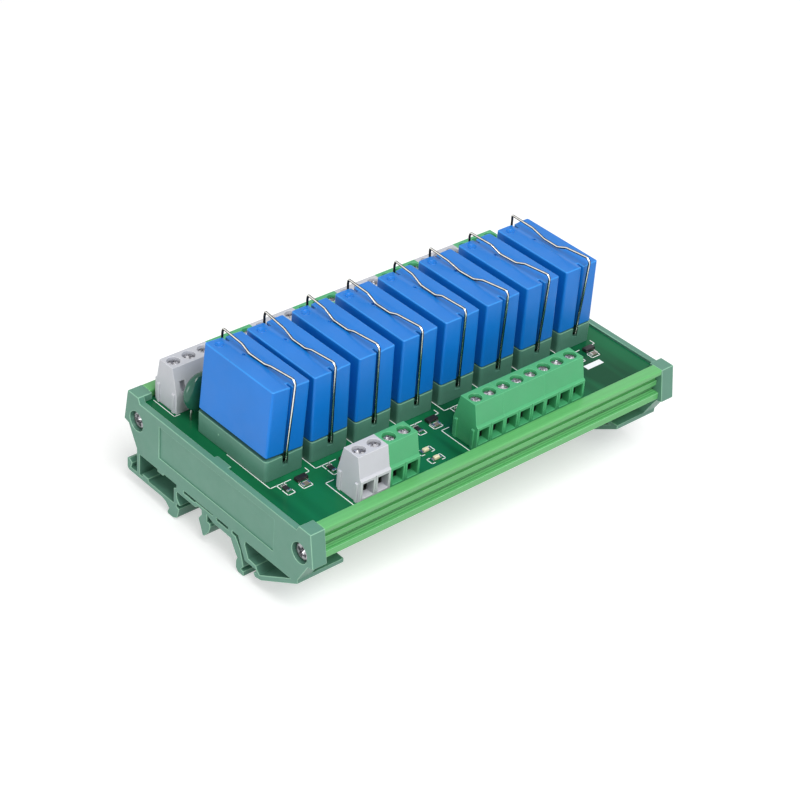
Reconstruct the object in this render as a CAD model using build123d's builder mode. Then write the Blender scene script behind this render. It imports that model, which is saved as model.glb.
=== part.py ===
from build123d import *
import os

# Eight-channel relay interface board in an extruded tray with two moulded DIN-rail end plates.
# Millimetres. X runs along the tray, the supply terminals face -Y, Z is up from the foot tips.

# Rounds that repeat many times are drawn with a few flat sides
small_sides = 10
wire_sides = 6
disc_sides = 16

# Terminal grid
pole_pitch = 5.08
poles_per_relay = 3
relay_count = 8
relay_pitch = pole_pitch * poles_per_relay

# Circuit board
board_margin = 3.64
board_thickness = 1.6
board_play = 0.15

# Levels of the end plate, from the foot tips up
foot_height = 12.0
flange_thickness = 1.3
plate_drop = 7.5
shelf_rise = 5.8

# Extruded tray
tray_floor = 1.5
slot_wall = 0.95
channel_depth = 1.9
lip_height = 2.3
lip_grip = 0.9
lip_radius = 0.5
channel_roof = 0.7
base_ridge_height = 2.1
fine_channel_height = 1.9
fine_channel_depth = 2.6
middle_ridge_height = 1.7
middle_ridge_proud = 0.6
ledge_depth = 2.35
ledge_thickness = 1.0
boss_overhang = 1.1
fine_line_count = 4
fine_line_depth = 0.2

# End plates
plate_thickness = 4.7
top_band = 2.0
band_above_board = 0.7
block_above_board = 2.35
block_width = 4.8
block_flare = 1.6
undercut_lift = 0.5
block_skirt = 0.9
tab_length = 6.0
tab_reach = 1.05
label_length = 50.0
label_height = 10.3
label_depth = 0.4
label_rise = 8.05
skirt_inset = 0.4
block_slope = 0.8
foot_depth = 15.6
foot_wall_inset = 1.35

# DIN foot
din_rail_width = 35.0
din_rail_sheet = 1.0
din_play = 0.2
din_centre_y = -0.75
seat_rise = 5.7
foot_wall = 1.3
slot_height = 0.85
front_toe_thickness = 3.0
centre_hook_y = 3.4
arm_hook_y = -12.1

# End plate screws
screw_inset = 1.0
screw_rise = 1.6
screw_core_radius = 1.0
screw_play = 0.05
screw_head_radius = 2.7
screw_head_height = 1.9
screw_hole_radius = 1.45
screw_bore_play = 0.35
counterbore_depth = 2.6
screw_length = 9.5
drive_slot_width = 0.7
drive_slot_depth = 0.6

# Screw terminals
terminal_edge_gap = 1.7
terminal_depth = 9.75
terminal_height = 13.9
terminal_top_back = 2.05
terminal_top_width = 5.8
terminal_shoulder = 7.2
shoulder_step = 0.7
shoulder_rise = 0.45
terminal_knee = 5.8
entry_width = 3.7
entry_bottom = 1.7
entry_height = 4.6
well_radius = 1.9
well_setback = 4.7
rib_width = 1.0
rib_proud = 0.4
rib_height = 6.3
rib_front_setback = 1.7
rib_back_setback = 1.35
rib_play = 0.1
window_height = 3.2
window_width = 1.6
window_depth = 0.6
window_rise = 2.6
terminal_screw_radius = 1.65
terminal_screw_drop = 0.8
clamp_play = 0.1
clamp_depth = 4.2

# Terminal rows: how far the front rows start from the rear row's left end, and poles of each housing
supply_row_shift = 14.6
input_row_shift = 55.36
supply_poles = (2, 2)
input_poles = (2, 3, 3)

# Relay sockets
socket_row_shift = 0.26
socket_side = 0.05
socket_rim = 0.2
socket_centre_y = 1.4
socket_height = 6.54
socket_corner = 0.6
clip_slot_x = 7.1
clip_slot_width = 1.7
clip_slot_depth = 1.25
clip_slot_drop = 2.9
clip_pocket_height = 1.8
clip_pocket_depth = 2.6

# Relays
relay_width = 12.7
relay_depth = 29.3
relay_height = 20.4
relay_draft = 0.5
relay_edge = 0.35
relay_groove_width = 1.6
relay_groove_depth = 0.9
relay_valley_width = 3.6
relay_valley_depth = 0.2
relay_dimple_radius = 1.2
relay_dimple_depth = 0.35
relay_dimple_inset = 3.0
first_relay_lean = 4.0
blade_length = 4.0
blade_width = 2.0
blade_thickness = 0.6
blade_play = 0.55
coil_blade_x = 3.75
coil_blade_y = -10.5
switch_blade_y = 2.5
common_blade_y = 10.0

# Retaining clips
wire_radius = 0.4
clip_leg_inset = 0.45
clip_foot_reach = 1.7
clip_wave = 2.1
clip_shoulder = 1.0
clip_rear_lift = 0.4
clip_lean_out = 1.2
# Bends of the clip's back: share of the span between the legs and drop from the crest
clip_bends = ((0.02, 0), (0.19, 0.2), (0.33, 1.1), (0.44, clip_wave), (0.63, clip_wave), (0.74, 0.5))

# Small parts on the board
varistor_radius = 6.2
varistor_thickness = 4.0
varistor_edge = 1.3
varistor_x = 5.2
varistor_front_gap = 2.65
varistor_rear_gap = 2.25
varistor_rise = 1.9
lead_size = 0.6
lead_spread = 3.75
transistor_size = (3.0, 1.6, 1.1)
transistor_from_relay = (8.2, 4.4)
resistor_size = (1.3, 2.6, 0.6)
resistor_from_relay = (2.4, 4.6)
diode_size = (2.4, 1.3, 0.8)
diode_from_relay = (8.4, 6.9)
lamp_size = (1.4, 2.4, 1.0)
lamp_shift = 44.26
lamp_setbacks = (9.6, 5.3)

# Levels
flange_z = foot_height + flange_thickness
tray_z = flange_z + plate_drop
shelf_z = tray_z + shelf_rise
board_z = shelf_z + board_thickness
slot_z = board_z + board_play
socket_z = board_z + socket_height
relay_z = socket_z + relay_height

# Distances from the middle plane, the same in front and behind
socket_width = relay_width + 2 * socket_side
socket_depth = relay_depth + 2 * socket_rim
varistor_y = socket_centre_y + socket_depth / 2 + varistor_front_gap + varistor_thickness / 2
terminal_inner_y = varistor_y + varistor_thickness / 2 + varistor_rear_gap
board_y = terminal_inner_y + terminal_depth + terminal_edge_gap
slot_y = board_y + board_play
channel_y = slot_y + slot_wall
tray_y = channel_y + channel_depth
ridge_y = channel_y + middle_ridge_proud
fine_y = tray_y - fine_channel_depth
lip_y = slot_y - lip_grip
screw_y = board_y - screw_inset
screw_z = tray_z + screw_rise
foot_wall_y = slot_y - foot_wall_inset

# Distances from the middle of the length
output_row_x = -relay_count * relay_pitch / 2
supply_row_x = output_row_x + supply_row_shift
input_row_x = output_row_x + input_row_shift
socket_row_x = output_row_x + socket_row_shift
lamp_x = output_row_x + lamp_shift
board_length = relay_count * relay_pitch + 2 * board_margin
plate_x = board_length / 2 + board_play + top_band
band_x = plate_x - top_band
tray_end_x = plate_x - plate_thickness
foot_x = plate_x - foot_depth


def terminal_left(row_x, poles, index):
    """Left end of a housing in its row."""
    return row_x + sum(poles[:index]) * pole_pitch


def socket_left(index):
    """Left side of a relay socket."""
    return socket_row_x + index * relay_pitch


# Extruded tray, one half of the section mirrored to the other
fine_z = tray_z + base_ridge_height
ridge_z = fine_z + fine_channel_height
channel_z = ridge_z + middle_ridge_height
with BuildPart() as tray_profile:
    with BuildSketch(Plane.YZ) as tray_section:
        with BuildLine():
            Polyline(
                (0, tray_z),
                (tray_y, tray_z),
                (tray_y, fine_z),
                (fine_y, fine_z),
                (fine_y, ridge_z),
                (ridge_y, ridge_z),
                (ridge_y, channel_z),
                (channel_y, channel_z),
                (channel_y, slot_z + channel_roof),
                (tray_y, slot_z + channel_roof),
                (tray_y, slot_z + lip_height),
                (lip_y, slot_z + lip_height),
                (lip_y, slot_z),
                (slot_y, slot_z),
                (slot_y, shelf_z),
                (slot_y - ledge_depth, shelf_z),
                (slot_y - ledge_depth, shelf_z - ledge_thickness),
                (slot_y - ledge_depth - boss_overhang, shelf_z - ledge_thickness - boss_overhang),
                (slot_y - ledge_depth - boss_overhang, tray_z + tray_floor),
                (0, tray_z + tray_floor),
                close=True,
            )
        make_face()
        lip_corners = tray_section.vertices().group_by(Axis.Y)[-1]
        fillet(lip_corners, lip_radius)
        for line in range(fine_line_count):
            step = fine_channel_height / (fine_line_count + 1)
            with Locations((fine_y, fine_z + step * (line + 1))):
                RegularPolygon(fine_line_depth, 4, mode=Mode.SUBTRACT)
        with Locations((screw_y, screw_z)):
            Circle(screw_core_radius + screw_play, mode=Mode.SUBTRACT)
        mirror(about=Plane.YZ)
    extrude(amount=tray_end_x, both=True)
tray_profile.part.label = "tray_profile"


# Profile of the DIN foot below the flange: rear box, hooks, strip, spring arm and front toe
rear_seat_y = din_centre_y + din_rail_width / 2 + din_play / 2
front_seat_y = din_centre_y - din_rail_width / 2 - din_play / 2
seat_z = seat_rise
groove_z = seat_z - din_rail_sheet - din_play
roof_z = foot_height
rear_web_y = rear_seat_y + foot_wall
arm_root_y = centre_hook_y - 9.0
toe_root_y = arm_hook_y + 1.7
with BuildSketch() as foot_profile:
    # Flange
    with Locations((0, foot_height + flange_thickness / 2)):
        Rectangle(2 * foot_wall_y, flange_thickness)
    # Rear box, its lower wall carried on behind as a lip
    with BuildLine():
        Polyline(
            (rear_seat_y - 0.3, roof_z - 1.9),
            (rear_seat_y, roof_z - 3.0),
            (rear_seat_y, seat_z),
            (rear_seat_y, groove_z),
            (rear_seat_y + 1.0, groove_z - 0.6),
            (foot_wall_y + 3.8, groove_z - 0.6),
            (foot_wall_y + 4.5, groove_z + 0.1),
            (foot_wall_y + 4.5, groove_z + 3.2),
            (foot_wall_y + 3.6, groove_z + 3.5),
            (foot_wall_y + 2.2, groove_z + 2.5),
            (foot_wall_y + 2.9, groove_z + 0.7),
            (foot_wall_y, groove_z + 0.7),
            (foot_wall_y, roof_z),
            (rear_seat_y - 0.3, roof_z),
            close=True,
        )
    make_face()
    with BuildLine():
        Polyline(
            (rear_web_y, groove_z + 0.7),
            (foot_wall_y - foot_wall, groove_z + 0.7),
            (foot_wall_y - foot_wall, roof_z),
            (rear_seat_y - 0.2, roof_z),
            (rear_seat_y - 0.2, roof_z - 0.9),
            (rear_web_y, roof_z - 1.7),
            close=True,
        )
    make_face(mode=Mode.SUBTRACT)
    # Low rib on the lower wall and bump under the flange
    rib_y = (rear_web_y + foot_wall_y) / 2 + 4.6
    with Locations((rib_y, groove_z + 0.9)):
        Rectangle(2.8, 1.4)
    with Locations((rib_y - 7.0, roof_z - 0.3)):
        Rectangle(2.8, 0.8)
    # Rear hook under the rail seat
    with BuildLine():
        Polyline(
            (rear_seat_y, groove_z + 0.1),
            (rear_seat_y - 1.2, groove_z - 0.1),
            (rear_seat_y - 0.6, 1.6),
            (rear_seat_y, 0.7),
            (rear_seat_y + 1.5, 0),
            (rear_seat_y + 3.9, 0),
            (rear_seat_y + 4.1, 0.7),
            (rear_seat_y + 3.4, 2.1),
            (rear_seat_y + 4.9, 3.4),
            (rear_seat_y + 7.0, groove_z - 0.5),
            (rear_seat_y + 7.0, groove_z + 0.1),
            close=True,
        )
    make_face()
    # Stop above the rail seat
    with BuildLine():
        Polyline(
            (rear_seat_y + 0.1, roof_z - 3.2),
            (rear_seat_y - 0.3, seat_z + 1.7),
            (rear_seat_y - 1.7, seat_z + 0.1),
            (rear_seat_y - 1.5, seat_z),
            (rear_seat_y + 0.1, seat_z),
            close=True,
        )
    make_face()
    # Strip under the flange from the rear seat to the middle hook
    strip_y = rear_seat_y - 3.2
    with BuildLine():
        Polyline(
            (strip_y, roof_z),
            (strip_y, roof_z - slot_height),
            (centre_hook_y + 5.4, roof_z - slot_height),
            (centre_hook_y + 5.0, roof_z - 0.4),
            (arm_root_y - 2.3, roof_z - 0.4),
            (arm_root_y - 2.3, roof_z - slot_height),
            (arm_root_y - 3.4, roof_z - 1.0),
            (arm_root_y, roof_z - 2.7),
            (centre_hook_y - 3.1, roof_z - 2.7),
            (centre_hook_y - 0.3, roof_z - 1.6),
            (centre_hook_y + 2.3, roof_z - 1.5),
            (centre_hook_y + 3.8, roof_z - 1.3),
            (centre_hook_y + 5.0, roof_z - 2.3),
            (rear_seat_y + 0.1, roof_z - 2.3),
            (rear_seat_y + 0.1, roof_z),
            close=True,
        )
    make_face()
    # Webs that tie the strip to the flange on both sides of a short slot
    with Locations((centre_hook_y - 3.5, roof_z - 0.2), (arm_root_y - 1.4, roof_z - 0.2)):
        Rectangle(1.8, 0.5)
    # Middle hook
    with BuildLine():
        Polyline(
            (centre_hook_y - 0.3, roof_z - 1.0),
            (centre_hook_y - 0.3, roof_z - 3.9),
            (centre_hook_y - 1.6, roof_z - 3.9),
            (centre_hook_y - 1.8, roof_z - 4.9),
            (centre_hook_y - 1.2, seat_z - 0.7),
            (centre_hook_y + 0.5, 2.9),
            (centre_hook_y + 1.0, 2.4),
            (centre_hook_y + 1.5, 2.5),
            (centre_hook_y + 2.6, seat_z - 0.5),
            (centre_hook_y + 3.5, roof_z - 4.9),
            (centre_hook_y + 2.1, roof_z - 2.9),
            (centre_hook_y + 2.3, roof_z - 1.0),
            close=True,
        )
    make_face()
    # Spring arm that snaps behind the rail
    with BuildLine():
        Polyline(
            (arm_root_y, roof_z - slot_height),
            (arm_root_y, roof_z - 2.8),
            (arm_root_y - 1.7, roof_z - 2.8),
            (arm_hook_y + 2.6, seat_z),
            (arm_hook_y + 1.7, seat_z - 1.1),
            (arm_hook_y + 2.2, seat_z - 2.3),
            (arm_hook_y + 2.2, 1.1),
            (arm_hook_y + 1.2, 0),
            (arm_hook_y - 1.2, 0),
            (arm_hook_y - 1.1, 1.5),
            (arm_hook_y + 0.1, 1.6),
            (arm_hook_y - 1.0, seat_z - 2.6),
            (arm_hook_y + 0.6, roof_z - 3.9),
            (arm_root_y - 3.7, roof_z - 1.0),
            (arm_root_y - 2.4, roof_z - slot_height),
            close=True,
        )
    make_face()
    with Locations((arm_root_y + 2.0, roof_z - slot_height / 2)):
        Rectangle(5.0, slot_height, mode=Mode.SUBTRACT)
    # Front toe with its triangular window and the lip that holds the rail's front edge
    with BuildLine():
        Polyline(
            (toe_root_y, roof_z),
            (toe_root_y - 0.7, roof_z - 1.7),
            (toe_root_y - 3.2, seat_z - 0.1),
            (toe_root_y - 4.9, seat_z - 0.1),
            (front_seat_y, seat_z - 0.1),
            (front_seat_y, groove_z),
            (front_seat_y + 1.0, groove_z - 0.4),
            (front_seat_y + 0.2, groove_z - 1.5),
            (front_seat_y - 2.4, groove_z - 1.0),
            (-foot_wall_y, roof_z),
            close=True,
        )
    make_face()
    with BuildLine():
        Polyline(
            (toe_root_y - 3.0, roof_z - 1.3),
            (toe_root_y - 3.3, roof_z),
            (-foot_wall_y + front_toe_thickness, roof_z),
            (front_seat_y - 1.65, seat_z - 0.9),
            (front_seat_y - 0.75, seat_z - 0.2),
            (front_seat_y, seat_z + 1.2),
            (toe_root_y - 4.6, seat_z + 1.5),
            close=True,
        )
    make_face(mode=Mode.SUBTRACT)
    with Locations((0, foot_height + flange_thickness / 2)):
        Rectangle(2 * foot_wall_y, flange_thickness)


def make_end_plate(side):
    """End plate with its corner blocks, board slot, label recess and DIN foot."""
    with BuildPart() as plate:
        with BuildSketch(Plane.YZ.offset(tray_end_x)):
            with BuildLine():
                Polyline(
                    (0, foot_height),
                    (foot_wall_y, foot_height),
                    (foot_wall_y, flange_z),
                    (tray_y - skirt_inset, tray_z - block_skirt),
                    (tray_y + block_flare, tray_z - block_skirt + undercut_lift),
                    (tray_y, board_z + block_above_board),
                    (tray_y - block_width, board_z + block_above_board),
                    (tray_y - block_width - block_slope, board_z + band_above_board),
                    (0, board_z + band_above_board),
                    close=True,
                )
            make_face()
            mirror(about=Plane.YZ)
        extrude(amount=plate_thickness)
        # Room for the end of the board, open above between the blocks
        with BuildSketch(Plane.XY.offset(shelf_z)):
            with Locations(((tray_end_x + band_x) / 2, 0)):
                Rectangle(band_x - tray_end_x, 2 * slot_y)
        extrude(amount=slot_z - shelf_z, mode=Mode.SUBTRACT)
        with BuildSketch(Plane.XY.offset(shelf_z)):
            with Locations(((tray_end_x + band_x) / 2, 0)):
                Rectangle(band_x - tray_end_x, 2 * (tray_y - block_width))
        extrude(amount=slot_z + lip_height, mode=Mode.SUBTRACT)
        # Tab that keeps the board down
        with BuildSketch(Plane.XY.offset(slot_z)):
            with Locations((band_x - tab_reach / 2, 0)):
                Rectangle(tab_reach, tab_length)
        extrude(amount=band_above_board - board_play)
        # Recess for a label on the outer face
        with BuildSketch(Plane.YZ.offset(plate_x)):
            with Locations((0, flange_z + label_rise)):
                Rectangle(label_length, label_height)
        extrude(amount=-label_depth, mode=Mode.SUBTRACT)
        holes = [Location((plate_x, y, screw_z), (0, 90, 0)) for y in (-screw_y, screw_y)]
        with Locations(*holes):
            CounterBoreHole(
                screw_hole_radius, screw_head_radius + screw_bore_play, counterbore_depth
            )
        with BuildSketch(Plane.YZ.offset(foot_x)):
            add(foot_profile.sketch_local)
        extrude(amount=foot_depth)
        if side < 0:
            mirror(about=Plane.YZ, mode=Mode.REPLACE)
    return plate.part


end_plate_left = make_end_plate(-1)
end_plate_left.label = "end_plate_left"
end_plate_right = make_end_plate(1)
end_plate_right.label = "end_plate_right"

# Four self-tapping screws that hold the plates to the tray
head_x = plate_x - counterbore_depth
with BuildPart() as end_plate_screws:
    with BuildSketch(Plane.YZ.offset(head_x)):
        with Locations((-screw_y, screw_z), (screw_y, screw_z)):
            RegularPolygon(screw_head_radius, disc_sides)
    extrude(amount=screw_head_height)
    with BuildSketch(Plane.YZ.offset(head_x + screw_head_height)):
        with Locations((-screw_y, screw_z), (screw_y, screw_z)):
            Rectangle(drive_slot_width, 2 * screw_head_radius)
    extrude(amount=-drive_slot_depth, mode=Mode.SUBTRACT)
    with BuildSketch(Plane.YZ.offset(head_x)):
        with Locations((-screw_y, screw_z), (screw_y, screw_z)):
            RegularPolygon(screw_core_radius, small_sides)
    extrude(amount=-screw_length)
    mirror(about=Plane.YZ)
end_plate_screws.part.label = "end_plate_screws"

# Places of the poles, the blades under a relay and the leads of the varistors
supply_xs = [supply_row_x + (k + 0.5) * pole_pitch for k in range(sum(supply_poles))]
input_xs = [input_row_x + (k + 0.5) * pole_pitch for k in range(sum(input_poles))]
output_xs = [output_row_x + (k + 0.5) * pole_pitch for k in range(relay_count * poles_per_relay)]
pole_y = terminal_inner_y + terminal_depth - well_setback
front_poles = [(x, -pole_y) for x in supply_xs + input_xs]
rear_poles = [(x, pole_y) for x in output_xs]
relay_centres = [socket_left(k) + socket_width / 2 for k in range(relay_count)]
blades = [
    (-coil_blade_x, coil_blade_y),
    (coil_blade_x, coil_blade_y),
    (-coil_blade_x, switch_blade_y),
    (coil_blade_x, switch_blade_y),
    (0, common_blade_y),
]
varistor_xs = [socket_left(k) + varistor_x for k in range(relay_count)]
leads = [(x + s * lead_spread, varistor_y) for x in varistor_xs for s in (-1, 1)]

with BuildPart() as circuit_board:
    with BuildSketch(Plane.XY.offset(shelf_z)):
        Rectangle(board_length, 2 * board_y)
    extrude(amount=board_thickness)
circuit_board.part.label = "circuit_board"


def make_terminal(left, poles, side):
    """Housing of a few poles, side -1 in front and +1 behind, with ribs on its left end."""
    outer_y = terminal_inner_y + terminal_depth
    top_y = terminal_inner_y + terminal_top_back
    xs = [left + (k + 0.5) * pole_pitch for k in range(poles)]
    right = left + poles * pole_pitch
    rib_ys = (outer_y - rib_front_setback, terminal_inner_y + rib_back_setback)
    with BuildPart() as housing:
        with BuildSketch(Plane.YZ.offset(left)):
            with BuildLine():
                Polyline(
                    (side * outer_y, board_z),
                    (side * outer_y, board_z + terminal_shoulder),
                    (side * (outer_y - shoulder_step), board_z + terminal_shoulder + shoulder_rise),
                    (side * (top_y + terminal_top_width), board_z + terminal_height),
                    (side * top_y, board_z + terminal_height),
                    (side * terminal_inner_y, board_z + terminal_knee),
                    (side * terminal_inner_y, board_z),
                    close=True,
                )
            make_face()
        extrude(amount=right - left)
        with BuildSketch(Plane.XZ.offset(-side * outer_y)):
            with Locations(*((x, board_z + entry_bottom + entry_height / 2) for x in xs)):
                Rectangle(entry_width, entry_height)
        extrude(amount=side * (well_setback + clamp_depth / 2 + clamp_play), mode=Mode.SUBTRACT)
        with BuildSketch(Plane.XY.offset(board_z + terminal_height)):
            with Locations(*((x, side * pole_y) for x in xs)):
                RegularPolygon(well_radius, small_sides)
        extrude(amount=entry_bottom + entry_height - terminal_height, mode=Mode.SUBTRACT)
        # Small windows in the inner wall
        with BuildSketch(Plane.XZ.offset(-side * terminal_inner_y)):
            with Locations(*((x, board_z + window_rise) for x in xs)):
                Rectangle(window_width, window_height)
        extrude(amount=-side * window_depth, mode=Mode.SUBTRACT)
        # Ribs on the left end and the grooves on the right end that take the next housing's ribs
        with BuildSketch(Plane.XY.offset(board_z)):
            for y in rib_ys:
                with Locations((left - rib_proud / 2, side * y)):
                    Rectangle(rib_proud, rib_width)
        extrude(amount=rib_height)
        with BuildSketch(Plane.XY.offset(board_z)):
            for y in rib_ys:
                with Locations((right - (rib_proud + rib_play) / 2, side * y)):
                    Rectangle(rib_proud + rib_play, rib_width + 2 * rib_play)
        extrude(amount=rib_height + rib_play, mode=Mode.SUBTRACT)
    return housing.part


terminal_rows = [
    ("supply_terminal", supply_row_x, supply_poles, -1),
    ("input_terminal", input_row_x, input_poles, -1),
    ("output_terminal", output_row_x, (poles_per_relay,) * relay_count, 1),
]
terminals = []
for name, row_x, poles, side in terminal_rows:
    for k, count in enumerate(poles):
        housing = make_terminal(terminal_left(row_x, poles, k), count, side)
        housing.label = f"{name}_{k + 1}"
        terminals.append(housing)


def make_terminal_screws(poles):
    """Clamping screws, each standing on its clamp."""
    screw_bottom = board_z + entry_bottom + entry_height - clamp_play
    screw_top = board_z + terminal_height - terminal_screw_drop
    with BuildPart() as screws:
        with BuildSketch(Plane.XY.offset(screw_bottom)):
            with Locations(*poles):
                RegularPolygon(terminal_screw_radius, small_sides)
        extrude(amount=screw_top - screw_bottom)
    return screws.part


def make_clamps(poles):
    """Clamp blocks at the back of the wire entries."""
    with BuildPart() as clamps:
        with BuildSketch(Plane.XY.offset(board_z + entry_bottom)):
            with Locations(*poles):
                Rectangle(entry_width - 2 * clamp_play, clamp_depth)
        extrude(amount=entry_height - clamp_play)
    return clamps.part


terminal_screws_front = make_terminal_screws(front_poles)
terminal_screws_front.label = "terminal_screws_front"
terminal_screws_rear = make_terminal_screws(rear_poles)
terminal_screws_rear.label = "terminal_screws_rear"
wire_clamps_front = make_clamps(front_poles)
wire_clamps_front.label = "wire_clamps_front"
wire_clamps_rear = make_clamps(rear_poles)
wire_clamps_rear.label = "wire_clamps_rear"


def make_socket(index):
    """Relay socket with contact ways and a slot and pocket for the clip at each end."""
    centre_x = relay_centres[index]
    slot_x = socket_left(index) + clip_slot_x
    slot_z_low = socket_z - clip_slot_drop
    ends = (socket_centre_y - socket_depth / 2, socket_centre_y + socket_depth / 2)
    with BuildPart() as socket:
        with BuildSketch(Plane.XY.offset(board_z)) as base:
            with Locations((centre_x, socket_centre_y)):
                Rectangle(socket_width, socket_depth)
            chamfer(base.vertices(), socket_corner)
            with Locations(*((centre_x + dx, socket_centre_y + dy) for dx, dy in blades)):
                Rectangle(blade_thickness + 2 * blade_play, blade_width + 2 * blade_play, mode=Mode.SUBTRACT)
        extrude(amount=socket_height)
        with BuildSketch(Plane.XY.offset(slot_z_low)):
            with Locations(*((slot_x, y) for y in ends)):
                Rectangle(clip_slot_width, 2 * clip_slot_depth)
        extrude(amount=clip_slot_drop, mode=Mode.SUBTRACT)
        with BuildSketch(Plane.XY.offset(slot_z_low)):
            with Locations(*((slot_x, y) for y in ends)):
                Rectangle(clip_slot_width, 2 * clip_pocket_depth)
        extrude(amount=clip_pocket_height, mode=Mode.SUBTRACT)
    return socket.part


def lean(part, index):
    """The first relay and its clip lean over on the relay's lower right edge."""
    if index > 0:
        return part
    pivot = (relay_centres[0] + relay_width / 2, 0, socket_z)
    return part.rotate(Axis(pivot, (0, 1, 0)), first_relay_lean)


def make_relay(index):
    """Relay case with drafted walls, a groove at each end and a shallow valley on top."""
    centre_x = relay_centres[index]
    groove_x = socket_left(index) + clip_slot_x
    ends = (socket_centre_y - relay_depth / 2, socket_centre_y + relay_depth / 2)
    with BuildPart() as case:
        with BuildSketch(Plane.XY.offset(socket_z)):
            with Locations((centre_x, socket_centre_y)):
                Rectangle(relay_width, relay_depth)
        extrude(amount=relay_height, taper=relay_draft)
        chamfer(case.edges().group_by(Axis.Z)[-1], relay_edge)
        with BuildSketch(Plane.XY.offset(socket_z)):
            with Locations(*((groove_x, y) for y in ends)):
                Rectangle(relay_groove_width, 2 * relay_groove_depth)
        extrude(amount=relay_height, mode=Mode.SUBTRACT)
        with BuildSketch(Plane.XY.offset(relay_z)):
            with Locations((groove_x, socket_centre_y)):
                Rectangle(relay_valley_width, relay_depth)
        extrude(amount=-relay_valley_depth, mode=Mode.SUBTRACT)
        with BuildSketch(Plane.XY.offset(relay_z)):
            with Locations((centre_x - relay_width / 2 + relay_dimple_inset, ends[1] - relay_dimple_inset)):
                RegularPolygon(relay_dimple_radius, small_sides)
        extrude(amount=-relay_dimple_depth, mode=Mode.SUBTRACT)
    return lean(case.part, index)


def make_blades(index):
    """Five blades under a relay."""
    with BuildPart() as pins:
        with BuildSketch(Plane.XY.offset(socket_z)):
            with Locations(*((relay_centres[index] + dx, socket_centre_y + dy) for dx, dy in blades)):
                Rectangle(blade_thickness, blade_width)
        extrude(amount=-blade_length)
    return lean(pins.part, index)


def make_clip(index):
    """Wire clip: feet in the socket's pockets, legs up the ends and a waved back over the relay."""
    wire_x = socket_left(index) + clip_slot_x
    front_y = socket_centre_y - socket_depth / 2
    rear_y = socket_centre_y + socket_depth / 2
    foot_z = socket_z - clip_slot_drop + clip_pocket_height / 2
    crest_z = relay_z - relay_valley_depth + wire_radius + clip_wave
    front_leg_y = front_y + clip_leg_inset
    rear_leg_y = rear_y - clip_leg_inset
    span = rear_leg_y - front_leg_y
    back = [(wire_x, front_leg_y + share * span, crest_z - drop) for share, drop in clip_bends]
    with BuildPart() as clip:
        with BuildLine() as path:
            Polyline(
                (wire_x, front_leg_y + clip_foot_reach, foot_z),
                (wire_x, front_leg_y, foot_z),
                (wire_x, front_leg_y - wire_radius, crest_z - clip_shoulder),
                *back,
                (wire_x, rear_leg_y + wire_radius, crest_z + clip_rear_lift),
                (wire_x, rear_leg_y + clip_lean_out, crest_z - clip_shoulder + wire_radius),
                (wire_x, rear_leg_y, foot_z),
                (wire_x, rear_leg_y - clip_foot_reach, foot_z),
            )
        with BuildSketch(Plane(origin=path.line @ 0, z_dir=path.line % 0)):
            RegularPolygon(wire_radius, wire_sides)
        sweep(transition=Transition.RIGHT)
    return lean(clip.part, index)


sockets = []
relays = []
clips = []
pin_sets = []
for k in range(relay_count):
    socket = make_socket(k)
    socket.label = f"relay_socket_{k + 1}"
    sockets.append(socket)
    relay = make_relay(k)
    relay.label = f"relay_{k + 1}"
    relays.append(relay)
    clip = make_clip(k)
    clip.label = f"retaining_clip_{k + 1}"
    clips.append(clip)
    pin_sets.append(make_blades(k))

with BuildPart() as relay_blades:
    for pins in pin_sets:
        add(pins)
relay_blades.part.label = "relay_blades"

# Disc varistors behind the relays, with two leads each
disc_z = board_z + varistor_rise + varistor_radius
disc_plane = Plane.XZ.offset(varistor_thickness / 2 - varistor_y)
with BuildPart() as varistors:
    with BuildSketch(disc_plane):
        with Locations(*((x, disc_z) for x in varistor_xs)):
            RegularPolygon(varistor_radius, disc_sides)
    extrude(amount=-varistor_thickness)
    front_face = varistors.faces().group_by(Axis.Y)[0]
    rear_face = varistors.faces().group_by(Axis.Y)[-1]
    chamfer(front_face.edges() + rear_face.edges(), varistor_edge)
    with BuildSketch(Plane.XY.offset(board_z)):
        with Locations(*leads):
            Rectangle(lead_size, lead_size)
    extrude(amount=disc_z - board_z)
varistors.part.label = "varistors"


def make_chips(places, size):
    """Small flat parts standing on the board."""
    with BuildPart() as chips:
        with BuildSketch(Plane.XY.offset(board_z)):
            with Locations(*places):
                Rectangle(size[0], size[1])
        extrude(amount=size[2])
    return chips.part


def beside_relays(offset):
    """Places in front of each socket, measured from its front left corner."""
    front_y = socket_centre_y - socket_depth / 2
    return [(socket_left(k) + offset[0], front_y - offset[1]) for k in range(relay_count)]


transistors = make_chips(beside_relays(transistor_from_relay), transistor_size)
transistors.label = "transistors"
chip_resistors = make_chips(beside_relays(resistor_from_relay), resistor_size)
chip_resistors.label = "chip_resistors"
chip_diodes = make_chips(beside_relays(diode_from_relay), diode_size)
chip_diodes.label = "chip_diodes"
indicator_lamps = make_chips([(lamp_x, setback - board_y) for setback in lamp_setbacks], lamp_size)
indicator_lamps.label = "indicator_lamps"

# One file for each piece
pieces = [tray_profile.part, end_plate_left, end_plate_right, end_plate_screws.part, circuit_board.part]
pieces += terminals
pieces += [terminal_screws_front, terminal_screws_rear, wire_clamps_front, wire_clamps_rear]
pieces += sockets + relays + clips
pieces += [relay_blades.part, varistors.part]
pieces += [transistors, chip_resistors, chip_diodes, indicator_lamps]
os.makedirs("parts", exist_ok=True)
for piece in pieces:
    export_step(piece, f"parts/{piece.label}.step")
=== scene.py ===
"""Looks of an eight-relay interface board in a rail-mounted tray, laid out as an add-on.

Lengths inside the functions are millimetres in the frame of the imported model.
"""

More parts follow.
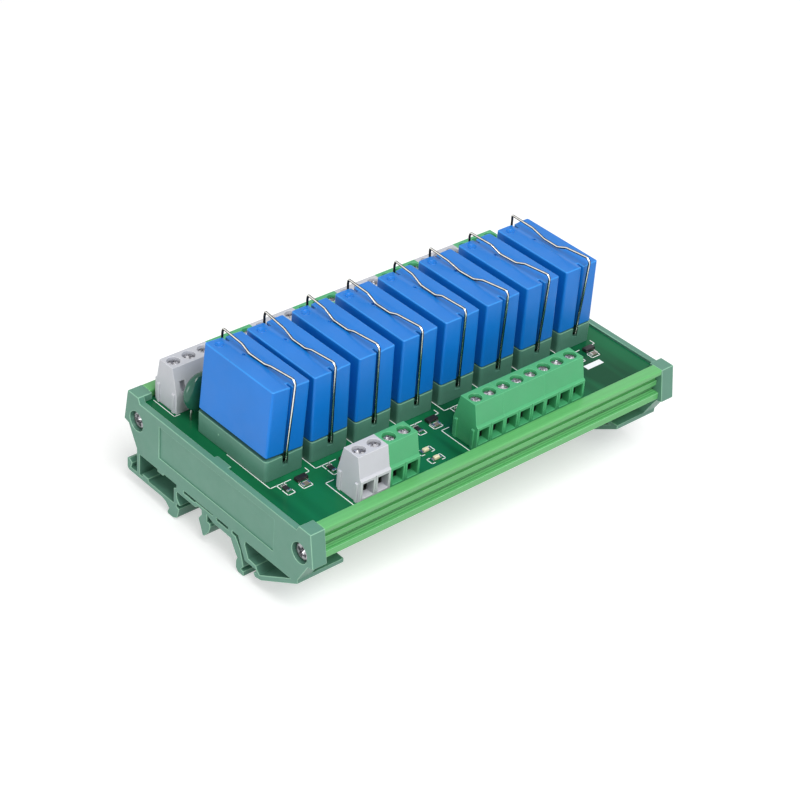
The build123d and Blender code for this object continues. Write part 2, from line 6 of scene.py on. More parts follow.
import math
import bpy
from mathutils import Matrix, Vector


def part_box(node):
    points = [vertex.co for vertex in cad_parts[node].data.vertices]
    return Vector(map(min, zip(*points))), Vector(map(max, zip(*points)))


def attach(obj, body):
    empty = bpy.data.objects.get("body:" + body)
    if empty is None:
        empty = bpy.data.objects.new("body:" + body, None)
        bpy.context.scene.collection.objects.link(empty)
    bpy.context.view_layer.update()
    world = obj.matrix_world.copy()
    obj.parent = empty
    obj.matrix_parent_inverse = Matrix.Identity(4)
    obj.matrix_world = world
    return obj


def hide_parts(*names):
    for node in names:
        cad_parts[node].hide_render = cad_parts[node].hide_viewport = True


bl_info = {
    "name": "Relay board looks",
    "version": (1, 0, 0),
    "blender": (4, 5, 0),
    "location": "View3D > Sidebar > Relay board",
    "description": "Dresses a packed relay board and sets up its studio",
    "category": "Object",
}

import bmesh
import bpy
import numpy as np
from mathutils import Matrix, Vector

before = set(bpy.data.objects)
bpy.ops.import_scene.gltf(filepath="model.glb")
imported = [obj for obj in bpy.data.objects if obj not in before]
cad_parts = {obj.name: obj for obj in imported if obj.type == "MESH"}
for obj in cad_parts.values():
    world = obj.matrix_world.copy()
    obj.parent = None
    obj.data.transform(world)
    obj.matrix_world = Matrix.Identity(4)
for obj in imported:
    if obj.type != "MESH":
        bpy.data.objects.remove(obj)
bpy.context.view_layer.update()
MM = 0.001


def node_box(node):
    """Lowest and highest corner of a CAD node, in millimetres."""
    low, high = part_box(node)
    return np.array(low) / MM, np.array(high) / MM


RELAYS = range(1, 9)
SOCKETS = {k: node_box(f"relay_socket_{k}") for k in RELAYS}
BOARD_TOP = node_box("circuit_board")[1][2]
SOCKET_TOP = SOCKETS[2][1][2]
RELAY_TOP = node_box("relay_2")[1][2]
RELAY_SIZE = node_box("relay_2")[1] - node_box("relay_2")[0]

# The first relay's lean, and how far a case's foot stands out past its top
LEAN = math.radians(4)
DRAFT = 0.178

# A clip's place along its socket, and its pocket's floor over the board
CLIP_SLOT = 7.1
SLOT_FLOOR = 3.25

# A gate mark's place along its socket and height over the board
GATE_PLACE = 20.2
GATE_RISE = 4.0

# The tray's base ridge over its foot, and the depth, height and pitch of the band of painted shade lines in its low
# groove, which stand for the shade between fine ribs
BASE_RIDGE = 2.1
BAND_DEPTH = 2.6
BAND_HEIGHT = 1.9
BAND_PITCH = 0.5

# A clip wire's sides, and the way one of its two sides with a painted highlight faces; it is painted dark between them
WIRE_SIDES = 16
PAINTED_HIGHLIGHT_TURN = math.radians(225)

DISC_RADIUS = 6.1
SCREW_ARM = 0.2
INK = 0.03


def tint(red, green, blue):
    """Eight-bit display values made linear: ((c + 0.055) / 1.055) to the 2.4."""
    c = np.array([red, green, blue]) / 255
    return tuple(np.where(c <= 0.04045, c / 12.92, ((c + 0.055) / 1.055) ** 2.4).tolist())


# Meshes

BOX_CORNERS = [(x, y, z) for z in (0, 1) for x, y in ((0, 0), (1, 0), (1, 1), (0, 1))]
BOX_QUADS = [[0, 3, 2, 1], [4, 5, 6, 7], [0, 1, 5, 4], [1, 2, 6, 5], [2, 3, 7, 6], [3, 0, 4, 7]]


def grid(x, y, z):
    """Points from three arrays spread over one another."""
    return np.stack(np.broadcast_arrays(x, y, z), -1)


def grid_quads(rows, columns, wrap=False):
    """Quads of a grid whose point (r, c) has the number r * columns + c, closed across its columns where asked."""
    r = np.arange(rows - 1)[:, None] * columns
    c = np.arange(columns if wrap else columns - 1)
    c_next = (c + 1) % columns
    return np.stack([r + c, r + c_next, r + columns + c_next, r + columns + c], -1).reshape(-1, 4).tolist()


def grid_rim(rows, columns):
    """Numbers of a grid's outer points, once round."""
    n = np.arange(rows * columns).reshape(rows, columns)
    return np.concatenate([n[:, 0], n[-1, 1:], n[-2::-1, -1], n[0, -2:0:-1]])


def lifted(flat, z):
    """Flat points given one height, or each its own."""
    return np.column_stack([flat, np.broadcast_to(z, len(flat))])


def unit(vectors):
    """Vectors made one long."""
    return vectors / np.linalg.norm(vectors, axis=1)[:, None]


def turns(count):
    """Angles evenly spaced once round."""
    return np.linspace(0, 2 * np.pi, count, endpoint=False)


def stacked(rings, ends=2):
    """Rings of points joined into a tube that is closed at both ends, only at the last ring, or not at all."""
    rings = np.asarray(rings, float)
    levels, count = rings.shape[:2]
    first = list(range(count))
    closing = [[i + (levels - 1) * count for i in first], first[::-1]][:ends]
    return rings.reshape(-1, 3), grid_quads(levels, count, True) + closing


def skirted(rows, columns, top, rings):
    """A grid of points with walls that go down from its rim through rings of points to a flat foot."""
    count = len(rings[0])
    levels = [grid_rim(rows, columns)] + [len(top) + k * count + np.arange(count) for k in range(len(rings))]
    faces = grid_quads(rows, columns)
    for a, b in zip(levels, levels[1:]):
        faces += np.stack([a, np.roll(a, -1), np.roll(b, -1), b], 1).tolist()
    return np.concatenate([top, *rings]), faces + [levels[-1].tolist()]


def block(low, high):
    """Six quads of a box between two corners."""
    return np.where(BOX_CORNERS, np.asarray(high, float), np.asarray(low, float)), BOX_QUADS


def chip(x, y, half_x, half_y, top, bottom=0.0):
    """A block on the board, from its middle and half sizes, and its top and bottom over the board."""
    return block([x - half_x, y - half_y, BOARD_TOP + bottom], [x + half_x, y + half_y, BOARD_TOP + top])


def leaned(points, index):
    """Points of the first relay and its clip, turned about the lower right edge of its case; others stay.

    x becomes x cos + z sin and z becomes z cos - x sin, both measured from that edge.
    """
    if index != 1:
        return points
    low, high = SOCKETS[1]
    pivot = (low[0] + high[0] + RELAY_SIZE[0]) / 2
    cos, sin = math.cos(LEAN), math.sin(LEAN)
    x, z = points[:, 0] - pivot, points[:, 2] - SOCKET_TOP
    return grid(pivot + x * cos + z * sin, points[:, 1], SOCKET_TOP + z * cos - x * sin)


def piece(name, parts, material, replaces=(), smooth=40.0, bevel=0.0, segments=2, rim=None, painted_reflection=None):
    """One riding object from parts of (points, faces), and a value for each point that paints a reflection on a wire.

    The rim material, whose lighter colour is a painted highlight, goes on the softened edges, or on the faces whose
    mark is
    1 where a part has marks as well.
    """
    points, faces, marks, start = [], [], [], 0
    for part_points, part_faces, *part_marks in parts:
        points.append(np.asarray(part_points, float))
        faces += [[i + start for i in face] for face in part_faces]
        marks += part_marks
        start += len(part_points)
    mesh = bpy.data.meshes.new(name)
    mesh.from_pydata((np.concatenate(points) * MM).tolist(), [], faces)
    if painted_reflection is not None:
        mesh.attributes.new("painted_reflection", "FLOAT", "POINT").data.foreach_set("value", np.asarray(painted_reflection, np.float32))
    if marks:
        mesh.polygons.foreach_set("material_index", np.concatenate(marks).astype(np.int32))
    settled(mesh, material, replaces, smooth, bevel, rim, segments)


def copied(name, node, material, bevel, rim):
    """A CAD node's own mesh, merged and with flat regions joined, so that its edges can be softened."""
    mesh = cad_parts[node].data.copy()
    mesh.name = name
    mesh.materials.clear()
    settled(mesh, material, (node,), smooth=25, bevel=bevel, rim=rim, flat=True)


def settled(mesh, material, replaces, smooth, bevel, rim, segments=2, flat=False):
    """Merges a mesh's doubles, turns its faces outward, softens its edges and makes its riding object."""
    form = bmesh.new()
    form.from_mesh(mesh)
    bmesh.ops.remove_doubles(form, verts=form.verts, dist=2e-6)
    bmesh.ops.dissolve_degenerate(form, edges=form.edges, dist=1e-7)
    if flat:
        bmesh.ops.dissolve_limit(form, angle_limit=math.radians(1), verts=form.verts, edges=form.edges)
    else:
        bmesh.ops.recalc_face_normals(form, faces=form.faces)
    if bevel:
        weight = form.edges.layers.float.new("bevel_weight_edge")
        for edge in form.edges:
            edge[weight] = float(len(edge.link_faces) == 2 and edge.calc_face_angle_signed() > math.radians(smooth))
    form.to_mesh(mesh)
    form.free()
    mesh.polygons.foreach_set("use_smooth", np.ones(len(mesh.polygons), bool))
    mesh.set_sharp_from_angle(angle=math.radians(smooth))
    mesh.materials.append(material)
    if rim:
        mesh.materials.append(rim)
    made = linked(mesh.name, mesh)
    if bevel:
        soft = made.modifiers.new("soft_edges", "BEVEL")
        soft.width = bevel * MM
        soft.segments = segments
        soft.limit_method = "WEIGHT"
        soft.use_clamp_overlap = False
        soft.harden_normals = True
        # The bevelled faces take the rim material, a painted highlight
        soft.material = 1 if rim else -1
    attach(made, "root")
    if replaces:
        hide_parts(*replaces)


def linked(name, data):
    """An object made from its data and linked to the scene."""
    made = bpy.data.objects.new(name, data)
    bpy.context.scene.collection.objects.link(made)
    return made


def dress(node, material):
    """Gives a CAD node its material."""
    node_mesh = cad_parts[node].data
    node_mesh.materials.clear()
    node_mesh.materials.append(material)


# Materials


class Tree:
    """A node tree."""

    def __init__(self, tree):
        self.tree = tree

    def node(self, kind, inputs=None, **settings):
        """A node with its settings and its inputs, each a value or another node's output."""
        made = self.tree.nodes.new(kind)
        for key, value in settings.items():
            setattr(made, key, value)
        for key, value in (inputs or {}).items():
            self.feed(made.inputs[key], value)
        return made

    def feed(self, socket, value):
        """Links an output to a socket, or sets the socket's own value."""
        if isinstance(value, bpy.types.NodeSocket):
            self.tree.links.new(value, socket)
        else:
            socket.default_value = value

    def math(self, operation, a, b=0.0):
        """Arithmetic on two values."""
        return self.node("ShaderNodeMath", {0: a, 1: b}, operation=operation).outputs[0]

    def spread(self, value, low, high, to_low, to_high):
        """A value carried from one range to another."""
        inputs = {"Value": value, "From Min": low, "From Max": high, "To Min": to_low, "To Max": to_high}
        return self.node("ShaderNodeMapRange", inputs).outputs["Result"]


class Shader(Tree):
    """A material's tree: one Principled shader with object coordinates at hand."""

    def __init__(self, name):
        self.material = bpy.data.materials.new(name)
        self.material.use_nodes = True
        super().__init__(self.material.node_tree)
        self.place = self.node("ShaderNodeTexCoord").outputs["Object"]

    def set(self, **values):
        """Values or links for the Principled shader, with underscores for spaces."""
        for key, value in values.items():
            self.feed(self.tree.nodes["Principled BSDF"].inputs[key.replace("_", " ")], value)

    def noise(self, scale, detail=3.0, roughness=0.5, stretch=(1, 1, 1), distortion=0.0):
        """Noise over stretched object coordinates; scale counts features in a metre."""
        place = self.node("ShaderNodeMapping", {"Vector": self.place, "Scale": stretch}).outputs[0]
        inputs = {"Vector": place, "Scale": scale, "Detail": detail, "Roughness": roughness, "Distortion": distortion}
        return self.node("ShaderNodeTexNoise", inputs).outputs["Fac"]

    def ramp(self, factor, stops):
        """A colour ramp over a factor; stops are (position, colour)."""
        made = self.node("ShaderNodeValToRGB", {"Fac": factor})
        elements = made.color_ramp.elements
        while len(elements) < len(stops):
            elements.new(0.5)
        for element, (position, colour) in zip(elements, stops):
            element.position, element.color = position, (*colour, 1)
        return made.outputs["Color"]

    def bump(self, height, depth, strength=1.0):
        """A bump from a height between 0 and 1 that stands for a depth in millimetres."""
        inputs = {"Height": height, "Distance": depth * MM, "Strength": strength}
        return self.node("ShaderNodeBump", inputs).outputs["Normal"]


def shade(colour, factor):
    """A colour made lighter or darker."""
    return tuple(min(1.0, c * factor) for c in colour)


def moulded(name, colour, rough, spread, grain, grain_scale=2600, gloss=0.5):
    """Moulded plastic: cloudy shades of one colour, a fine eroded grain and a few rubbed places."""
    s = Shader(name)
    cloud = s.noise(70, 4, 0.55)
    rubbed = s.noise(240, 5, 0.6, distortion=0.4)
    stops = [(0.3, shade(colour, 1 - spread)), (0.52, colour), (0.75, shade(colour, 1 + spread))]
    s.set(Base_Color=s.ramp(cloud, stops),
          Roughness=s.spread(rubbed, 0.3, 0.75, rough - 0.07, rough + 0.09),
          Normal=s.bump(s.noise(grain_scale, 2, 0.6), grain),
          Specular_IOR_Level=gloss)
    return s.material


def extruded(name, colour):
    """Extruded plastic: fine drawn lines, slow changes of shade, and a band of painted shade lines in the tray's low
    groove,
    standing for the shade between fine ribs: a sine of height less 0.6 of the distance from the middle plane."""
    s = Shader(name)
    drawn = s.noise(1500, 3, 0.6, (0.01, 1, 1))
    cloud = s.noise(30, 3, 0.5, (0.4, 1, 1))
    both = s.math("MULTIPLY", s.math("ADD", drawn, cloud), 0.5)
    shades = s.ramp(both, [(0.35, shade(colour, 0.9)), (0.5, colour), (0.66, shade(colour, 1.1))])
    low, high = node_box("tray_profile")
    band_z, band_y = low[2] + BASE_RIDGE, high[1] - BAND_DEPTH
    axes = s.node("ShaderNodeSeparateXYZ", {"Vector": s.place}).outputs
    y = s.math("MULTIPLY", s.math("ABSOLUTE", axes["Y"]), 1 / MM)
    z = s.math("MULTIPLY", axes["Z"], 1 / MM)
    slant = s.math("SUBTRACT", z, s.math("MULTIPLY", y, 0.6))
    wave = s.math("SINE", s.math("MULTIPLY", slant, 2 * math.pi / BAND_PITCH))
    lines = s.spread(wave, -0.6, 0.6, 0.15, 0.95)
    for fade in (
        (z, band_z - 0.12, band_z - 0.04, 0, 1),
        (z, band_z + BAND_HEIGHT - 0.1, band_z + BAND_HEIGHT, 1, 0),
        (y, band_y - 0.1, band_y - 0.02, 0, 1),
        (y, high[1] - 0.2, high[1] - 0.1, 1, 0),
    ):
        lines = s.math("MULTIPLY", lines, s.spread(*fade))
    # Painted shade: the dark colour of the lines that stand for the grooves between fine ribs
    dark = (colour[0] * 0.5, colour[1] * 0.64, colour[2] * 0.58, 1)
    mixed = s.node("ShaderNodeMix", data_type="RGBA")
    for number, value in ((0, lines), (6, shades), (7, dark)):
        s.feed(mixed.inputs[number], value)
    s.set(Base_Color=mixed.outputs[2], Roughness=s.spread(drawn, 0.3, 0.7, 0.3, 0.45), Normal=s.bump(drawn, 0.01))
    return s.material


# A dark tint for metals at grazing angles: a painted dark reflection
PAINTED_DARK_METAL_EDGE = (0.2, 0.2, 0.2, 1)


def metal(name, colour, rough):
    """Plated metal: brightness that wanders, small dull spots, fine turned lines and a painted dark reflection at
    grazing angles.
    """
    s = Shader(name)
    spots = s.noise(700, 3, 0.7)
    s.set(Base_Color=s.ramp(spots, [(0.3, shade(colour, 0.82)), (0.5, colour), (0.8, shade(colour, 1.06))]),
          Roughness=s.spread(s.noise(1800, 3), 0.3, 0.75, rough - 0.05, rough + 0.1),
          Normal=s.bump(s.noise(2600, 3, 0.6), 0.006),
          Metallic=1.0, Specular_Tint=PAINTED_DARK_METAL_EDGE)
    return s.material


def spring_wire(name, colour):
    """Bent spring wire: a painted reflection, bright along two opposite sides and dark between them, where it is also
    rougher.
    """
    s = Shader(name)
    painted_reflection = s.node("ShaderNodeAttribute", attribute_name="painted_reflection").outputs["Fac"]
    uneven = s.math("ADD", painted_reflection, s.spread(s.noise(900, 3, 0.7), 0.3, 0.7, -0.06, 0.06))
    # Painted reflection: the colour falls to near black between the two bright sides
    s.set(Base_Color=s.ramp(uneven, [(0.62, shade(colour, 0.05)), (0.8, shade(colour, 0.12)), (0.95, colour)]),
          Roughness=s.spread(uneven, 0.55, 0.8, 0.34, 0.14),
          Metallic=1.0, Specular_Tint=PAINTED_DARK_METAL_EDGE)
    return s.material


def solder_mask(name, colour, deep):
    """Green lacquer: lighter over the copper, with a painted reflection that makes it lighter towards the supply end
    and darker towards the other end, and a gloss with slow waves.
    """
    s = Shader(name)
    broad = s.noise(55, 2, 0.4, (1, 0.25, 1), 0.6)
    narrow = s.noise(260, 1, 0.3, (1, 0.1, 1))
    tracks = s.math("ADD", s.math("MULTIPLY", broad, 0.7), s.math("MULTIPLY", narrow, 0.3))
    along = s.node("ShaderNodeSeparateXYZ", {"Vector": s.place}).outputs["X"]
    # The copper pattern plus a shift along X that is a painted reflection: lighter at the left end, darker at the right
    # end
    copper = s.math("ADD", tracks, s.spread(along, -0.06, 0.06, 0.1, -0.03))
    s.set(Base_Color=s.ramp(copper, [(0.42, deep), (0.5, colour), (0.62, shade(colour, 1.25))]),
          Roughness=s.spread(s.noise(300, 3), 0.3, 0.7, 0.14, 0.26),
          Normal=s.bump(tracks, 0.02, 0.4),
          Specular_IOR_Level=0.1)
    return s.material


# Settings


def span(what, default):
    """A length in metres, shown in the scene's unit."""
    return bpy.props.FloatProperty(name=what.capitalize(), description=f"The {what}", default=default * MM, min=0.0,
                                   unit="LENGTH", subtype="DISTANCE")


def paint(what, red, green, blue):
    """A colour whose default is given as display values."""
    return bpy.props.FloatVectorProperty(name=what.capitalize(), description=f"Colour of the {what}",
                                         default=tint(red, green, blue), min=0.0, max=1.0, subtype="COLOR")


class BoardColours(bpy.types.PropertyGroup):
    """Colours of the board's finishes."""

    # Each rim colour is lighter than the colour it goes with: a painted highlight on the softened edges
    tray: paint("extruded tray", 99, 180, 108)
    tray_rim: paint("tray's edges", 130, 201, 142)
    plate: paint("moulded end plates", 92, 142, 122)
    plate_rim: paint("end plates' edges", 138, 188, 160)
    lacquer: paint("lacquer over copper", 19, 100, 62)
    lacquer_deep: paint("lacquer over bare laminate", 13, 78, 50)
    print_white: paint("printed lines on the board", 250, 252, 250)
    socket: paint("relay sockets", 77, 126, 108)
    socket_rim: paint("sockets' edges", 116, 164, 138)
    case: paint("relay cases", 14, 121, 213)
    case_rim: paint("relay cases' edges", 52, 146, 230)
    green_housing: paint("green terminal housings", 72, 168, 112)
    green_rim: paint("green housings' edges", 92, 186, 130)
    grey_housing: paint("grey terminal housings", 196, 198, 204)
    grey_rim: paint("grey housings' edges", 208, 210, 214)
    wire: paint("clips' steel wire", 236, 235, 230)
    steel: paint("zinc plated screws", 226, 226, 230)
    tin: paint("tinned legs and clamps", 190, 190, 186)
    coating: paint("varistors' dipped coating", 34, 92, 74)


class BoardSizes(bpy.types.PropertyGroup):
    """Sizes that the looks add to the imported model."""

    edge: span("end plates' softened edge", 0.18)
    tray_edge: span("tray's softened edge", 0.12)
    case_edge: span("relay cases' rounded edge", 0.3)
    housing_edge: span("terminal housings' softened edge", 0.1)
    wire: span("radius of the clips' wire", 0.35)
    print_line: span("width of the printed lines", 0.24)


class BoardStudio(bpy.types.PropertyGroup):
    """Light and floor."""

    ambient: bpy.props.FloatProperty(name="Ambient", description="Strength of the light all round", default=0.37)
    key: bpy.props.FloatProperty(name="Key lamp", description="Power of the lamp above", default=8.0, unit="POWER")
    side: bpy.props.FloatProperty(name="Side lamp", description="Power of the lamp at left", default=3.2, unit="POWER")
    floor: paint("pale floor", 208, 208, 208)


def settings():
    """The three groups of settings."""
    scene = bpy.context.scene
    return scene.board_colours, scene.board_sizes, scene.board_studio


# Shapes


def wire_tube(points, radius, sides=WIRE_SIDES):
    """A round wire along a path: each ring is the centre plus the radius times (cos t along side, sin t along up),
    where side is the X axis less its share along the path, and up is square to both."""
    tangent = unit(np.gradient(points, axis=0))
    side = unit([1.0, 0.0, 0.0] - tangent * tangent[:, :1])
    up = np.cross(side, tangent)
    t = turns(sides)[:, None]
    return stacked(points[:, None] + radius * (np.cos(t) * side[:, None] + np.sin(t) * up[:, None]))


def flowing(corners, step, radius):
    """A path through corners, sampled evenly and then averaged over a window of that radius, which keeps runs straight
    and rounds the corners."""
    corners = np.asarray(corners, float)
    length = np.concatenate([[0], np.cumsum(np.linalg.norm(np.diff(corners, axis=0), axis=1))])
    s = np.arange(0, length[-1] + step / 2, step)
    dense = np.stack([np.interp(s, length, corners[:, k]) for k in range(3)], 1)
    half = max(1, int(round(radius / step)))
    window = np.hanning(2 * half + 3)[1:-1]
    window /= window.sum()
    padded = np.concatenate([2 * dense[:1] - dense[half:0:-1], dense, 2 * dense[-1:] - dense[-2 : -half - 2 : -1]])
    return np.stack([np.convolve(padded[:, k], window, "valid") for k in range(3)], 1)


def cross_screw(radius, recess, dome, reach):
    """The face of a screw with a cross recess: the points of a square grid bent into a disc, and the grid's size.

    Grid point (a, b) goes to (a sqrt(1 - b2 / 2), b sqrt(1 - a2 / 2)) times the radius. The height is the dome times
    1 - r2, less the recess within the arm's width of either axis and inside its reach, less a fall at the rim.
    """
    lines = np.unique(np.round([0, 0.1, SCREW_ARM, 0.27, 0.55, reach, reach + 0.06, 0.85, 0.94, 1], 3))
    lines = np.concatenate([-lines[:0:-1], lines])
    a, b = lines[:, None], lines
    x, y = a * np.sqrt(1 - b * b / 2), b * np.sqrt(1 - a * a / 2)
    r = np.hypot(x, y)
    lane = np.minimum(np.abs(a), np.abs(b)) <= SCREW_ARM + 1e-6
    inside = np.maximum(np.abs(a), np.abs(b)) <= reach + 1e-6
    rim = np.clip((r - 0.86) / 0.14, 0, 1) ** 2
    z = dome * (1 - r * r) - recess * (lane & inside) * (1 - 0.5 * (r / reach) ** 2) - 0.12 * radius * rim
    return grid(x * radius, y * radius, z).reshape(-1, 3), len(lines)


def screws(centres, radius, height, recess, dome, reach, lying=False):
    """Screw heads at their centres, each turned by its own angle, with a straight wall down to their seat. They stand
    up, or lie along X and face away from the middle."""
    face, n = cross_screw(radius, recess, dome, reach)
    points, faces = skirted(n, n, face, [face[grid_rim(n, n)] * [1, 1, 0] - [0, 0, height]])
    parts = []
    for k, centre in enumerate(centres):
        cos, sin = math.cos(0.35 + 2.4 * k), math.sin(0.35 + 2.4 * k)
        turned = points @ [[cos, sin, 0], [-sin, cos, 0], [0, 0, 1]]
        if lying:
            turned = turned[:, [2, 0, 1]] * [math.copysign(1, centre[0]), 1, 1]
        parts.append((turned + centre, faces))
    return parts


def relay_case(index, edge):
    """A relay case as one closed surface, with the marks of its rounded edge.

    The top is a grid: columns across X, each running in Y between edges that step in at the clip grooves and round
    off at the corners. The walls go down from its rim: outward along its normal by edge sin t and down by
    edge (1 - cos t), then straight with the draft.
    """
    low, high = SOCKETS[index]
    half_x, half_y = RELAY_SIZE[:2] / 2 - DRAFT - edge
    groove_x, groove_half, groove_in, corner = 0.2, 0.66, 2.3, 0.3
    groove_edges = groove_x + np.array([-groove_half - 0.06, -groove_half, groove_half, groove_half + 0.06])
    ends = half_x - corner * np.array([1, 0.62, 0.29, 0.08, 0])
    x = np.unique(np.round(np.concatenate([np.linspace(-5.4, 5.4, 73), groove_edges, ends, -ends]), 4))
    over = np.clip(np.abs(x) - (half_x - corner), 0, corner)
    round_in = corner - np.sqrt(np.maximum(corner**2 - over**2, 0))
    reach = half_y - round_in - (np.abs(x - groove_x) <= groove_half + 1e-4) * groove_in
    v = np.linspace(-1, 1, 181)
    v = 0.25 * np.sin(v * np.pi / 2) + 0.75 * v
    top_x, top_y = x[:, None], reach[:, None] * v
    top = grid(top_x, top_y, RELAY_TOP - relay_dents(top_x, top_y)).reshape(-1, 3)
    rim = top[grid_rim(len(x), len(v))]
    loop = rim[:, :2]
    along = np.roll(loop, -1, 0) - np.roll(loop, 1, 0)
    out = unit(along[:, ::-1] * [1, -1])
    rounding = np.radians([22.5, 45, 67.5, 90])
    rings = [lifted(loop + out * edge * math.sin(t), rim[:, 2] - edge * (1 - math.cos(t))) for t in rounding]
    foot = loop + out * (edge + DRAFT)
    for inset, lift in ((0.02, 0.42), (0.1, 0.36), (0.5, 0.36), (0.5, 0.0)):
        rings.append(lifted(foot - out * inset, SOCKET_TOP + lift))
    points, faces = skirted(len(x), len(v), top, rings)
    marks = np.zeros(len(faces))
    marks[(len(x) - 1) * (len(v) - 1):][: len(rounding) * len(rim)] = 1
    return leaned(points + [*(low + high)[:2] / 2, 0], index), faces, marks


def relay_dents(x, y):
    """Depth of the marks in a relay's top: a valley exp(-(dx / 1.7) to the 4), a pin mark whose wall falls as a half
    cosine, with a ring exp(-((r - 1.1) / 0.14) squared) round it, and a small vent with such a wall."""
    valley = 0.2 * np.exp(-(((x - 0.7) / 1.7) ** 4))
    pin_r = np.hypot(x + 3.35, y - 11.65)
    vent_r = np.hypot(x + 0.8, y - 4.6)
    pin = 0.16 * (1 + np.cos(np.pi * np.clip((pin_r - 0.3) / 0.6, 0, 1))) + 0.3 * np.exp(-(((pin_r - 1.1) / 0.14) ** 2))
    vent = 0.5 * (1 + np.cos(np.pi * np.clip((vent_r - 0.15) / 0.4, 0, 1)))
    return valley + pin + vent


def socket_shell(index):
    """A relay socket, with the marks of its upper edge: a rectangle with quarter-round corners and a notch at each end
    for the clip, stacked in levels. Below the notch's floor its points lie on the wall."""
    low, high = SOCKETS[index]
    corner, notch_x, notch_half, notch_in = 1.1, 0.15, 1.0, 5.0

    def loop(inset, notch):
        half = (high - low)[:2] / 2 - inset
        arcs = []
        for quarter, signs in enumerate(((1, 1), (-1, 1), (-1, -1), (1, -1))):
            t = np.linspace(quarter, quarter + 1, 7) * np.pi / 2
            arcs.append((half - corner) * signs + corner * np.column_stack([np.cos(t), np.sin(t)]))
        a, b, y = notch_x - notch_half, notch_x + notch_half, half[1]
        rear = np.array([[b, y], [b, y - notch], [a, y - notch], [a, y]])
        return np.concatenate([arcs[0], rear, arcs[1], arcs[2], rear[::-1] * [1, -1], arcs[3]])

    top = SOCKET_TOP - BOARD_TOP
    levels = ((0.12, 0, 0), (0, 0, 0.12), (0, 0, SLOT_FLOOR), (0, notch_in, SLOT_FLOOR), (0, notch_in, top - 0.18),
              (0.05, notch_in, top - 0.05), (0.18, notch_in, top))
    rings = [lifted(loop(inset, notch), z) for inset, notch, z in levels]
    points, faces = stacked(rings)
    upper = np.repeat(np.arange(len(rings) - 1) >= len(rings) - 3, len(rings[0]))
    return points + [*(low + high)[:2] / 2, BOARD_TOP], faces, np.append(upper, [0, 0])


# A pole's width, the seam's half width and depth, and the lines along a pole. Then the housing's section in (depth,
# height): front, top, the shoulder between them, and the slope over the foot of the inner wall
POLE = 5.08
SEAM = 0.16
SEAM_DIP = 0.3
POLE_LINES = np.array([SEAM, 0.69, 1.3, 1.92, 2.54, 3.16, 3.78, 4.39, POLE - SEAM])
HOUSING_FRONT = 9.75
HOUSING_TOP = 13.9
SHOULDER = (9.05, 7.65)
SLOPE_FOOT = 5.8
SLOPE_LENGTH = 8.356
SLOPE_RUN, SLOPE_RISE = 0.2453, 0.9694

# A pole's panels: the hole's middle and steps, the lines across, where they start, their way and the way in
PANELS = (
    (5.05, ((1.9, 0.0), (1.9, 7.2)),
     (2.05, 2.6, 3.4, 4.2, 5.05, 5.9, 6.7, 7.4, 7.85), (0, HOUSING_TOP), (1, 0), (0, -1)),
    (4.0, (((1.85, 2.3), 0.0), ((1.78, 2.25), 7.3)),
     (0, 0.9, 1.7, 2.85, 4.0, 5.15, 6.3, 6.75, 7.2), (HOUSING_FRONT, 0), (0, 1), (-1, 0)),
    (2.1, (((0.85, 1.9), 0.0), ((0.85, 1.9), 2.2)),
     (0, 0.5, 1.3, 2.1, 2.9, 3.7, 4.5, 6.4, SLOPE_LENGTH), (0, SLOPE_FOOT), (SLOPE_RUN, SLOPE_RISE),
     (SLOPE_RISE, -SLOPE_RUN)),
)


def holed_panel(lines, rows, middle, steps):
    """A flat panel with a hole, in the panel's own two directions and depth. The hole's steps are (size, depth).

    The outer ring runs round the rectangle through the ends of the lines and rows. A round hole's ring lies in the
    same directions from the middle at its radius. A square hole, of two half sizes, is the rectangle scaled to them.
    """
    outer = grid(lines[:, None], rows, 0.0).reshape(-1, 3)[grid_rim(len(lines), len(rows)), :2]
    low, high = outer.min(0), outer.max(0)
    share = (outer - low) / (high - low) * 2 - 1
    rings = [lifted(outer, 0.0)]
    for size, depth in steps:
        inner = unit(outer - middle) * size if np.isscalar(size) else share * size
        rings.append(lifted(middle + inner, depth))
    return stacked(rings, 1)


def strip(lines, run):
    """A grid from every line to every corner of a run of (depth, height) points."""
    run = np.asarray(run, float)
    return grid(lines[:, None], run[:, 0], run[:, 1]).reshape(-1, 3), grid_quads(len(lines), len(run))


